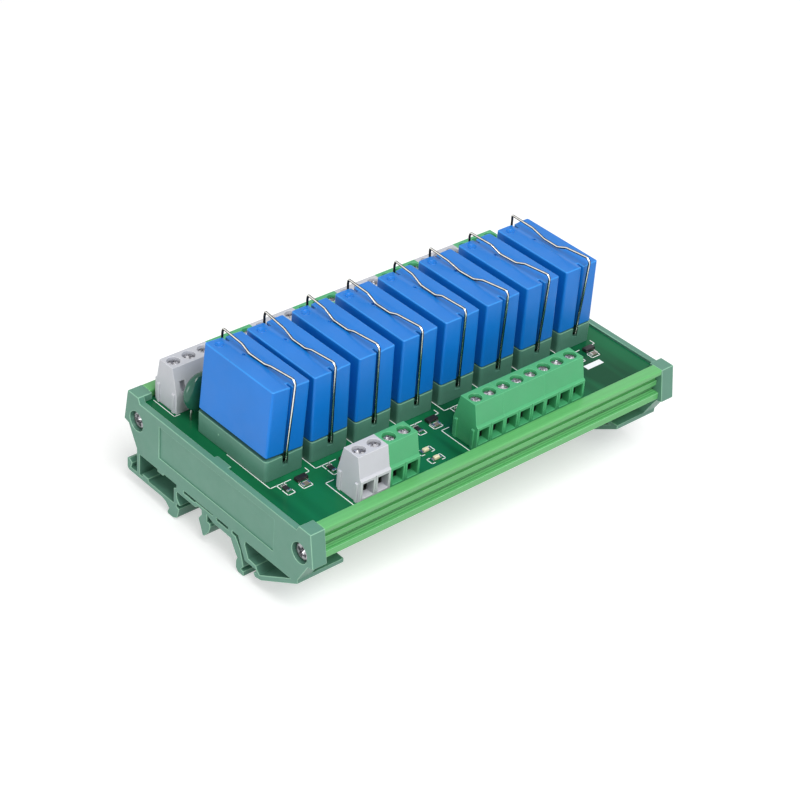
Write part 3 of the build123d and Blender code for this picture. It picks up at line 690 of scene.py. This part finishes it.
def housing(node, poles, side):
    """A terminal housing, built in its own frame (along, depth from the inner wall, height) and then put in place.

    Each pole has a top with the screw's well, a front with the wire's entry and a sloped wall with a small window.
    Strips join them, a seam runs down the front between poles, and two ribs with sloped tops stand on the left end.
    """
    parts, runs = [], []
    for middle, steps, *arrays in PANELS:
        rows, start, way, inward = map(np.array, arrays)
        runs.append(start + rows[:, None] * way)
        for pole in range(poles):
            points, faces = holed_panel(POLE_LINES + pole * POLE, rows, [(pole + 0.5) * POLE, middle], steps)
            section = start + points[:, 1:2] * way + points[:, 2:] * inward
            parts.append((np.column_stack([points[:, 0], section]), faces))
    top, front, slope = runs
    for pole in range(poles + 1):
        x = pole * POLE
        lines = x + SEAM * np.arange(-1 if pole > 0 else 0, 2 if pole < poles else 1)
        for run in (top, slope, front):
            parts.append(strip(lines, run))
        if 0 < pole < poles:
            points = parts[-1][0]
            points[points[:, 0] == x, 1] -= SEAM_DIP
            for y, z in front[[0, -1]]:
                parts.append(([[x - SEAM, y, z], [x, y, z], [x + SEAM, y, z], [x, y - SEAM_DIP, z]], [[0, 1, 2, 3]]))
    stations = [POLE_LINES + k * POLE for k in range(poles)] + [np.arange(poles + 1) * POLE]
    stations = np.unique(np.round(np.concatenate(stations), 4))
    parts += [strip(stations, (front[-1], SHOULDER, top[-1])), strip(stations, (slope[0], (0, 0), front[0]))]
    rim = np.concatenate([front, [SHOULDER], top[::-1], slope[-2::-1], [[0, 0]]])
    for x in (0.0, poles * POLE):
        parts.append((np.column_stack([np.full(len(rim), x), rim]), [list(range(len(rim)))]))
    for middle in (8.05, 1.35):
        points, faces = block([-0.4, middle - 0.5, 0], [0.1, middle + 0.5, 6.3])
        points[(points[:, 0] < 0) & (points[:, 2] > 1), 2] -= 0.4
        parts.append((points, faces))
    low, high = node_box(node)
    place = [high[0] - poles * POLE, low[1] if side > 0 else high[1], BOARD_TOP]
    return [(np.asarray(points) * [1, side, 1] + place, faces) for points, faces in parts]


def clamp_cage(x, y, z, side):
    """A clamp cage: a square tube along the wire's way with its walls' thickness, closed behind by its own back."""
    corner = np.array([[-1, -1], [1, -1], [1, 1], [-1, 1]])
    outer, inner = (1.72, 2.2), (1.3, 1.75)
    rings = [np.column_stack([corner[:, 0] * half_x, np.full(4, side * depth), corner[:, 1] * half_z])
             for (half_x, half_z), depth in ((outer, -2.1), (outer, 2.1), (inner, 2.1), (inner, -1.8))]
    return stacked(np.array(rings) + [x, y, z])


def dipped_disc(centre_x, low, high):
    """A varistor's coated disc, turned about the Y axis. Its half thickness is T (1 - (r / R) to the 4) to the 0.5, and
    its lower rim hangs down a little over the leads."""
    p = np.linspace(-1, 1, 27)[:, None]
    share = np.sin(np.pi / 2 * (1 - np.abs(p))) ** 0.8
    y = (low[1] + high[1] + np.sign(p) * (high[1] - low[1]) * np.sqrt(np.maximum(1 - share**4, 0))) / 2
    t = turns(48)
    droop = 0.04 * np.exp(-(((t - 1.5 * np.pi) / 0.55) ** 2))
    r = DISC_RADIUS * share * (1 + droop * share**6)
    return stacked(grid(centre_x + r * np.cos(t), y, high[2] - DISC_RADIUS + r * np.sin(t)), 0)


def drawn_line(side, inset):
    """A fine raised line along the tray's base ridge: a triangle 0.22 wide and 0.17 high carried along X."""
    low, high = node_box("tray_profile")
    section = np.array([[-0.11, -0.05], [0.11, -0.05], [0.0, 0.12]])
    y, z = side * (high[1] - inset + section[:, 0]), low[2] + BASE_RIDGE + section[:, 1]
    return stacked([grid(x, y, z) for x in (low[0], high[0])])


def gate_mark(index):
    """A socket's gate mark: a low dome on its left wall, (1 - r2) high over a disc of rings and spokes."""
    x, y, _ = SOCKETS[index][0]
    r, t = np.linspace(0, 1, 5)[:, None], turns(12)
    rings = grid(x + 0.05 - 0.22 * (1 - r * r), y + GATE_PLACE + 0.28 * r * np.cos(t),
                 BOARD_TOP + GATE_RISE + 0.45 * r * np.sin(t))
    return stacked(rings, 1)


def print_lines(routes, width):
    """Printed lines: each run between two corners of a route becomes a thin slab on the board, whose corners are the
    run's ends plus or minus half a width along and across it."""
    a, b = np.array([pair for corners in routes for pair in zip(corners, corners[1:])]).swapaxes(0, 1)
    d = unit(b - a) * width / 2
    n = d[:, ::-1] * [-1, 1]
    corners = np.stack([a - d - n, b + d - n, b + d + n, a - d + n], 1).reshape(-1, 2)
    slabs = [lifted(corners, BOARD_TOP + lift).reshape(-1, 4, 3) for lift in (0, INK)]
    faces = (np.array(BOX_QUADS) + 8 * np.arange(len(a))[:, None, None]).reshape(-1, 4)
    return np.stack(slabs, 1).reshape(-1, 3), faces.tolist()


# Operators

# The camera that was solved from the photograph
CAMERA_LENS = 2201.36 * 36 / 800
CAMERA_ROWS = (
    (0.753623, 0.330078, -0.568419, -0.352965),
    (-0.653820, 0.465382, -0.596606, -0.368431),
    (0.067606, 0.821260, 0.566534, 0.373492),
    (0, 0, 0, 1),
)


class RELAY_OT_stage(bpy.types.Operator):
    """Floor, soft lamps, plain world and the camera"""

    bl_idname = "relay.stage"
    bl_label = "Stage"

    def execute(self, context):
        studio = settings()[2]
        scene = context.scene
        scene.view_settings.view_transform = "Standard"
        world = bpy.data.worlds.new("studio_world")
        world.use_nodes = True
        scene.world = world
        sky = Tree(world.node_tree)
        path = sky.node("ShaderNodeLightPath").outputs
        glossy = sky.math("MAXIMUM", path["Is Glossy Ray"], path["Is Transmission Ray"])
        seen = sky.math("MAXIMUM", path["Is Camera Ray"], glossy)
        ground = world.node_tree.nodes["Background"].inputs
        sky.feed(ground["Strength"], sky.spread(seen, 0, 1, studio.ambient, 1))
        sky.feed(ground["Color"], (1, 1, 1, 1))
        self.add_floor(studio.floor)
        self.add_lamp("key_lamp", (-0.10, -0.50, 0.85), 0.6, studio.key)
        self.add_lamp("side_lamp", (-0.95, 0.0, 0.20), 0.5, studio.side)
        view = bpy.data.cameras.new("camera")
        view.sensor_width, view.lens = 36, CAMERA_LENS
        view.clip_start, view.clip_end = 0.01, 20
        scene.camera = linked("camera", view)
        scene.camera.matrix_world = Matrix(CAMERA_ROWS)
        return {"FINISHED"}

    def add_floor(self, colour):
        """A wide flat floor just under the object, paler for the camera so that it reads as white paper."""
        s = Shader("pale_floor")
        path = s.node("ShaderNodeLightPath").outputs
        seen = s.math("MAXIMUM", path["Is Camera Ray"], path["Is Glossy Ray"])
        away = s.node("ShaderNodeVectorMath", {0: s.place}, operation="LENGTH").outputs["Value"]
        s.set(Base_Color=s.ramp(s.noise(400, 4, 0.6), [(0.3, shade(colour, 0.985)), (0.7, colour)]), Roughness=0.9,
              Emission_Strength=s.math("MULTIPLY", seen, s.spread(away, 0.4, 1.3, 0.5, 0.8)),
              Emission_Color=(1, 1, 1, 1))
        t = np.linspace(-4, 4, 9)
        mesh = bpy.data.meshes.new("floor")
        mesh.from_pydata(grid(t[:, None], t, -0.0002).reshape(-1, 3).tolist(), [], grid_quads(9, 9))
        mesh.materials.append(s.material)
        linked("floor", mesh)

    def add_lamp(self, name, place, size, power):
        """A square lamp that faces the middle of the object."""
        lamp = bpy.data.lights.new(name, "AREA")
        lamp.size, lamp.energy = size, power
        made = linked(name, lamp)
        made.location = place
        made.rotation_euler = (Vector((0, 0, 0.03)) - Vector(place)).to_track_quat("-Z", "Y").to_euler()


class RELAY_OT_tray(bpy.types.Operator):
    """The extruded tray with softened edges"""

    bl_idname = "relay.tray"
    bl_label = "Tray"

    def execute(self, context):
        colours, sizes, _ = settings()
        plastic = extruded("drawn_plastic", colours.tray)
        # The tray's softened edges take the lighter rim colour, a painted highlight
        rim = extruded("drawn_edges", colours.tray_rim)
        copied("tray", "tray_profile", plastic, sizes.tray_edge / MM, rim)
        lines = [drawn_line(side, 0.45 + 0.62 * k) for side in (-1, 1) for k in range(4)]
        piece("tray_lines", lines, plastic, (), 25)
        return {"FINISHED"}


class RELAY_OT_end_plates(bpy.types.Operator):
    """Both moulded end plates and the screws in them"""

    bl_idname = "relay.end_plates"
    bl_label = "End plates"

    def execute(self, context):
        colours, sizes, _ = settings()
        plastic = moulded("plate_plastic", colours.plate, 0.46, 0.05, 0.015)
        # The plates' softened edges take the lighter rim colour, a painted highlight
        rim = moulded("plate_edges", colours.plate_rim, 0.4, 0.06, 0.01)
        for node in ("end_plate_left", "end_plate_right"):
            copied(node + "_moulded", node, plastic, sizes.edge / MM, rim)
        high = node_box("end_plate_screws")[1]
        head, shank = 2.7, 0.9
        y, z = high[1] - head, high[2] - head
        centres = [(sx * (high[0] - 0.25), sy * y, z) for sx in (-1, 1) for sy in (-1, 1)]
        parts = screws(centres, head - 0.1, 1.6, 1.7, 0.1, 0.62, lying=True)
        for cx, cy, cz in centres:
            ends = [end - math.copysign(1.5, cx) for end in (cx, cx * 0.9)]
            parts.append(block([min(ends), cy - shank, cz - shank], [max(ends), cy + shank, cz + shank]))
        # The screw steel at 0.55 of its colour: painted shade for the screws sunk in the plates
        plated = metal("screw_plating_painted_shade", shade(colours.steel, 0.55), 0.3)
        piece("plate_screws", parts, plated, ("end_plate_screws",), 35)
        return {"FINISHED"}


# Printed lines from each socket's front left corner and beside each lamp, and the blank field
SOCKET_PRINT = (
    ((6.6, -2.4), (-0.2, -2.4), (-0.2, 16.0)),
    ((11.4, -2.4), (12.95, -2.4), (12.95, -0.6)),
    ((1.9, -2.4), (1.9, -4.2)),
    ((1.9, -5.0), (1.9, -7.4), (4.3, -7.4), (4.3, -5.9)),
    ((4.3, -2.4), (4.3, -3.6)),
    ((7.0, -7.5), (10.1, -7.5), (10.1, -5.2), (7.0, -5.2), (7.0, -7.5)),
)
LAMP_PRINT = ((1.3, -1.15), (2.4, -1.15), (2.4, 1.15), (1.3, 1.15))
BLANK_FIELD = ((48.6, -23.6), (53.0, -23.6))
LAMP_BOX = np.array(node_box("indicator_lamps"))
LAMP_PLACES = [(LAMP_BOX[:, 0].mean(), y) for y in LAMP_BOX[:, 1] + [1.2, -1.2]]


class RELAY_OT_board(bpy.types.Operator):
    """The lacquered circuit board with its printed lines"""

    bl_idname = "relay.board"
    bl_label = "Circuit board"

    def execute(self, context):
        colours, sizes, _ = settings()
        dress("circuit_board", solder_mask("board_lacquer", colours.lacquer, colours.lacquer_deep))
        ink = moulded("board_ink", colours.print_white, 0.55, 0.05, 0.004, 3000)
        lines = [np.array(corners) + low[:2] for low, _ in SOCKETS.values() for corners in SOCKET_PRINT]
        for low, high in (node_box("supply_terminal_1"), node_box("input_terminal_1")):
            left, rear = low[0] - 0.9, high[1] + 2.7
            lines.append(((left, low[1] + 0.6), (left, rear), (left + 2.7, rear)))
        low, high = node_box("output_terminal_1")
        left, front = low[0] - 0.5, low[1] - 0.4
        lines.append(((left, high[1] - 0.6), (left, front), (left + 1.8, front)))
        lines += [np.multiply(LAMP_PRINT, (side, 1)) + place for place in LAMP_PLACES for side in (-1, 1)]
        parts = [print_lines(lines, sizes.print_line / MM), print_lines([BLANK_FIELD], 2.0)]
        piece("board_print", parts, ink)
        return {"FINISHED"}


class RELAY_OT_sockets(bpy.types.Operator):
    """Eight relay sockets"""

    bl_idname = "relay.sockets"
    bl_label = "Relay sockets"

    def execute(self, context):
        colours = settings()[0]
        plastic = moulded("socket_plastic", colours.socket, 0.5, 0.1, 0.02, 2200)
        # The sockets' upper edges take the lighter rim colour, a painted highlight
        rim = moulded("socket_edges", colours.socket_rim, 0.45, 0.08, 0.01, 2200)
        for k in RELAYS:
            piece(f"socket_{k}", [socket_shell(k)], plastic, (f"relay_socket_{k}",), 35, rim=rim)
        # The gate marks take the same lighter edge material, a painted highlight on each small dome
        piece("gate_marks", [gate_mark(k) for k in RELAYS], rim)
        return {"FINISHED"}


class RELAY_OT_relays(bpy.types.Operator):
    """Eight relay cases and the blades under them"""

    bl_idname = "relay.relays"
    bl_label = "Relays"

    def execute(self, context):
        colours, sizes, _ = settings()
        plastic = moulded("case_plastic", colours.case, 0.36, 0.05, 0.006, 3000, 0.4)
        # The cases' rounded edges take the lighter rim colour, a painted highlight
        rim = moulded("case_edges", colours.case_rim, 0.34, 0.06, 0.004, 3000, 0.4)
        for k in RELAYS:
            case = relay_case(k, sizes.case_edge / MM)
            piece(f"case_{k}", [case], plastic, (f"relay_{k}",), 50, rim=rim)
        dress("relay_blades", metal("blade_tin", colours.tin, 0.3))
        return {"FINISHED"}


# Clips one by one: how far the rear and the front bend stand aside of the slot, the front bend's Y from the leg's
# foot, and the bends of the back as (Y, height over the relay's top)
CLIP_BACKS = (
    (-0.5, 0.3, -0.1, ((16.3, 2.1), (8.4, 1.5), (5.2, 0.18), (-1.1, 0.18), (-3.6, 0.8), (-12.3, 1.6))),
    (-0.2, -0.1, -0.1, ((16.2, 2.7), (8.0, 1.65), (4.4, 0.2), (-0.9, 0.18), (-3.7, 1.1), (-12.3, 2.05))),
    (-0.7, -0.35, -0.1, ((16.3, 2.6), (9.3, 2.0), (5.4, 0.25), (-0.4, 0.18), (-3.1, 1.05), (-12.2, 2.0))),
    (-1.6, -0.35, -0.1, ((16.3, 2.5), (8.6, 2.0), (4.9, 0.35), (-0.5, 0.2), (-3.3, 1.1), (-12.2, 1.75))),
    (0.1, 0.1, -0.1, ((16.2, 2.55), (8.9, 2.0), (5.1, 0.35), (-0.8, 0.25), (-3.6, 1.35), (-12.5, 1.9))),
    (-1.9, 0.3, -0.4, ((16.5, 2.2), (9.4, 1.45), (4.6, 0.25), (-0.7, 0.2), (-4.1, 1.45), (-12.7, 2.3))),
    (-1.9, 0.35, -1.0, ((16.2, 2.25), (8.1, 2.1), (4.3, 0.7), (-1.6, 0.7), (-4.9, 1.85), (-13.3, 2.45))),
    (-0.3, 0.35, -1.5, ((16.6, 2.4), (8.2, 2.15), (3.3, 0.85), (-2.1, 0.75), (-5.5, 2.1), (-13.6, 2.85))),
)


class RELAY_OT_clips(bpy.types.Operator):
    """Eight bent wires that hold the relays down"""

    bl_idname = "relay.clips"
    bl_label = "Retaining clips"

    def execute(self, context):
        colours, sizes, _ = settings()
        steel = spring_wire("spring_steel", colours.wire)
        # Painted highlight on two opposite sides of each wire, painted dark reflection between them
        painted_reflection = np.abs(np.cos(turns(WIRE_SIDES) - PAINTED_HIGHLIGHT_TURN))
        foot_z = BOARD_TOP + SLOT_FLOOR + 0.5
        for k, (rear_aside, front_aside, lean_out, bends) in zip(RELAYS, CLIP_BACKS):
            low, high = SOCKETS[k]
            x, front, rear = low[0] + CLIP_SLOT, low[1] + 0.45, high[1] - 0.45
            aside = np.interp([y for y, _ in bends], [front, rear], [front_aside, rear_aside])
            path = [(x, rear - 1.5, foot_z), (x, rear, foot_z), (x + rear_aside / 2, rear + 0.65, SOCKET_TOP + 6),
                    (x + rear_aside, rear + 0.75, RELAY_TOP + 1.2)]
            path += [(x + dx, y, RELAY_TOP + h) for dx, (y, h) in zip(aside, bends)]
            path += [(x + front_aside, front + lean_out - 0.1, RELAY_TOP + bends[-1][1] - 0.95),
                     (x + 0.1, front, foot_z), (x + 0.1, front + 1.5, foot_z)]
            points, faces = wire_tube(flowing(path, 0.22, 0.5), sizes.wire / MM)
            piece(f"clip_{k}", [(leaned(points, k), faces)], steel, (f"retaining_clip_{k}",), 60,
                  painted_reflection=np.tile(painted_reflection, len(points) // WIRE_SIDES))
        return {"FINISHED"}


# Each housing's node with its number of poles, its side and whether it is grey
TERMINALS = [("supply_terminal_1", 2, -1, True), ("supply_terminal_2", 2, -1, False)]
TERMINALS += [(f"input_terminal_{k}", poles, -1, False) for k, poles in ((1, 2), (2, 3), (3, 3))]
TERMINALS += [(f"output_terminal_{k}", 3, 1, k % 2 == 1) for k in RELAYS]


class RELAY_OT_terminals(bpy.types.Operator):
    """Terminal housings in front and behind"""

    bl_idname = "relay.terminals"
    bl_label = "Terminal housings"

    def execute(self, context):
        colours, sizes, _ = settings()
        green = moulded("green_housing", colours.green_housing, 0.4, 0.07, 0.01)
        grey = moulded("grey_housing", colours.grey_housing, 0.42, 0.04, 0.01)
        # The housings' softened edges take the lighter rim colours, a painted highlight
        green_rim = moulded("green_housing_edges", colours.green_rim, 0.38, 0.06, 0.008)
        grey_rim = moulded("grey_housing_edges", colours.grey_rim, 0.4, 0.04, 0.008)
        for node, poles, side, is_grey in TERMINALS:
            plastic, rim, slot = (grey, grey_rim, "terminal_grey") if is_grey else (green, green_rim, "terminal_green")
            parts = housing(node, poles, side)
            piece(node + "_housing", parts, plastic, (node,), 30, sizes.housing_edge / MM, rim=rim)
        return {"FINISHED"}


class RELAY_OT_terminal_screws(bpy.types.Operator):
    """Clamping screws and the clamps under them"""

    bl_idname = "relay.terminal_screws"
    bl_label = "Terminal screws"

    def execute(self, context):
        colours = settings()[0]
        # Painted shade: the screw steel at 0.8 in the wells, and the tin at 0.16 so the cages fill the wire entries
        # with dark
        plated = metal("clamp_screw_painted_shade", shade(colours.steel, 0.8), 0.26)
        tin = metal("clamp_tin_painted_shade", shade(colours.tin, 0.16), 0.45)
        for row, side in (("front", -1), ("rear", 1)):
            clamps, studs = "wire_clamps_" + row, "terminal_screws_" + row
            _, y, z = np.add(*node_box(clamps)) / 2
            centres = []
            for node, poles, housing_side, _ in TERMINALS:
                if housing_side == side:
                    right = node_box(node)[1][0]
                    centres += [(right - (k + 0.5) * POLE, y, node_box(studs)[1][2]) for k in range(poles)]
            parts = screws(centres, 1.66, 4.0, 1.1, 0.2, 0.78)
            piece(studs + "_plated", parts, plated, (studs,), 35)
            cages = [clamp_cage(centre[0], y, z, side) for centre in centres]
            piece("clamp_cages_" + row, cages, tin, (clamps,), 30)
        return {"FINISHED"}


class RELAY_OT_varistors(bpy.types.Operator):
    """Eight dipped discs with their leads"""

    bl_idname = "relay.varistors"
    bl_label = "Varistors"

    def execute(self, context):
        colours = settings()[0]
        coat = moulded("dipped_coating", colours.coating, 0.16, 0.12, 0.03, 500)
        tin = metal("lead_tin", colours.tin, 0.3)
        low, high = node_box("varistors")
        y = (low[1] + high[1]) / 2
        discs, leads = [], []
        for corner, _ in SOCKETS.values():
            x = corner[0] + 5.2
            discs.append(dipped_disc(x, low, high))
            for side in (-1, 1):
                path = [(x + side * aside, y, BOARD_TOP + rise) for aside, rise in ((3.75, -1), (3.75, 2), (3.2, 5))]
                leads.append(wire_tube(flowing(path, 0.4, 0.8), 0.3, 8))
        piece("varistor_discs", discs, coat, ("varistors",), 60)
        piece("varistor_leads", leads, tin)
        return {"FINISHED"}


class RELAY_OT_small_parts(bpy.types.Operator):
    """Transistors, resistors, diodes and lamps soldered flat on the board"""

    bl_idname = "relay.small_parts"
    bl_label = "Small parts"

    def execute(self, context):
        colours = settings()[0]
        black = moulded("chip_epoxy", tint(30, 30, 32), 0.4, 0.15, 0.01)
        pale = moulded("chip_ceramic", tint(120, 112, 100), 0.45, 0.1, 0.01)
        tin = metal("solder_tin", shade(colours.tin, 1.3), 0.25)
        bodies, ends, pale_bodies = [], [], []
        for low, _ in SOCKETS.values():
            x, y = low[0] + 8.9, low[1] - 3.9
            bodies.append(chip(x, y, 1.8, 0.85, 1.1, 0.15))
            ends += [chip(x + dx, y + dy, 0.25, 0.6, 0.32) for dx, dy in ((-1.3, -0.8), (1.3, -0.8), (0.3, 0.8))]
            x, y = low[0] + 3.1, low[1] - 5.0
            bodies.append(chip(x, y, 0.7, 1.0, 0.6))
            ends += [chip(x, y + dy, 0.73, 0.32, 0.68) for dy in (-1.25, 1.25)]
            x, y = low[0] + 8.55, low[1] - 6.35
            pale_bodies.append(chip(x, y, 0.75, 0.62, 0.6))
            ends += [chip(x + dx, y, 0.28, 0.66, 0.68) for dx in (-0.98, 0.98)]
        piece("chip_bodies", bodies, black, ("transistors", "chip_resistors"), 30, 0.1)
        piece("chip_pale_bodies", pale_bodies, pale, ("chip_diodes",), 30, 0.1)
        piece("chip_ends", ends, tin, (), 30, 0.08)
        lens = moulded("lamp_lens", tint(236, 224, 186), 0.15, 0.15, 0.01)
        tin = metal("lamp_tin", colours.tin, 0.25)
        lenses = [chip(x, y, 0.95, 0.62, 1.0) for x, y in LAMP_PLACES]
        ends = [chip(x + dx, y, 0.35, 0.65, 0.45) for x, y in LAMP_PLACES for dx in (-1.2, 1.2)]
        piece("lamp_lenses", lenses, lens, ("indicator_lamps",), 30, 0.3, 3)
        piece("lamp_ends", ends, tin, (), 30, 0.08)
        return {"FINISHED"}


OPERATORS = (
    RELAY_OT_stage,
    RELAY_OT_tray,
    RELAY_OT_end_plates,
    RELAY_OT_board,
    RELAY_OT_sockets,
    RELAY_OT_relays,
    RELAY_OT_clips,
    RELAY_OT_terminals,
    RELAY_OT_terminal_screws,
    RELAY_OT_varistors,
    RELAY_OT_small_parts,
)


class RELAY_PT_panel(bpy.types.Panel):
    """Lists the settings and the operators"""

    bl_label = "Relay board"
    bl_idname = "RELAY_PT_panel"
    bl_space_type = "VIEW_3D"
    bl_region_type = "UI"
    bl_category = "Relay board"

    def draw(self, context):
        layout = self.layout
        for group in settings():
            box = layout.box()
            for key in group.bl_rna.properties.keys():
                if key not in ("rna_type", "name"):
                    box.prop(group, key)
        for operator in OPERATORS:
            layout.operator(operator.bl_idname)


GROUPS = {"board_colours": BoardColours, "board_sizes": BoardSizes, "board_studio": BoardStudio}
CLASSES = (*GROUPS.values(), *OPERATORS, RELAY_PT_panel)


def register():
    """Registers the classes and hangs the settings on the scene."""
    for item in CLASSES:
        bpy.utils.register_class(item)
    for key, group in GROUPS.items():
        setattr(bpy.types.Scene, key, bpy.props.PointerProperty(type=group))


def unregister():
    """Takes the settings off the scene and unregisters the classes."""
    for key in GROUPS:
        delattr(bpy.types.Scene, key)
    for item in reversed(CLASSES):
        bpy.utils.unregister_class(item)


def main():
    """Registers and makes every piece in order."""
    register()
    ops = bpy.ops.relay
    for operator in (ops.stage, ops.tray, ops.end_plates, ops.board, ops.sockets, ops.relays, ops.clips, ops.terminals,
                     ops.terminal_screws, ops.varistors, ops.small_parts):
        operator()


if __name__ == "__main__":
    main()
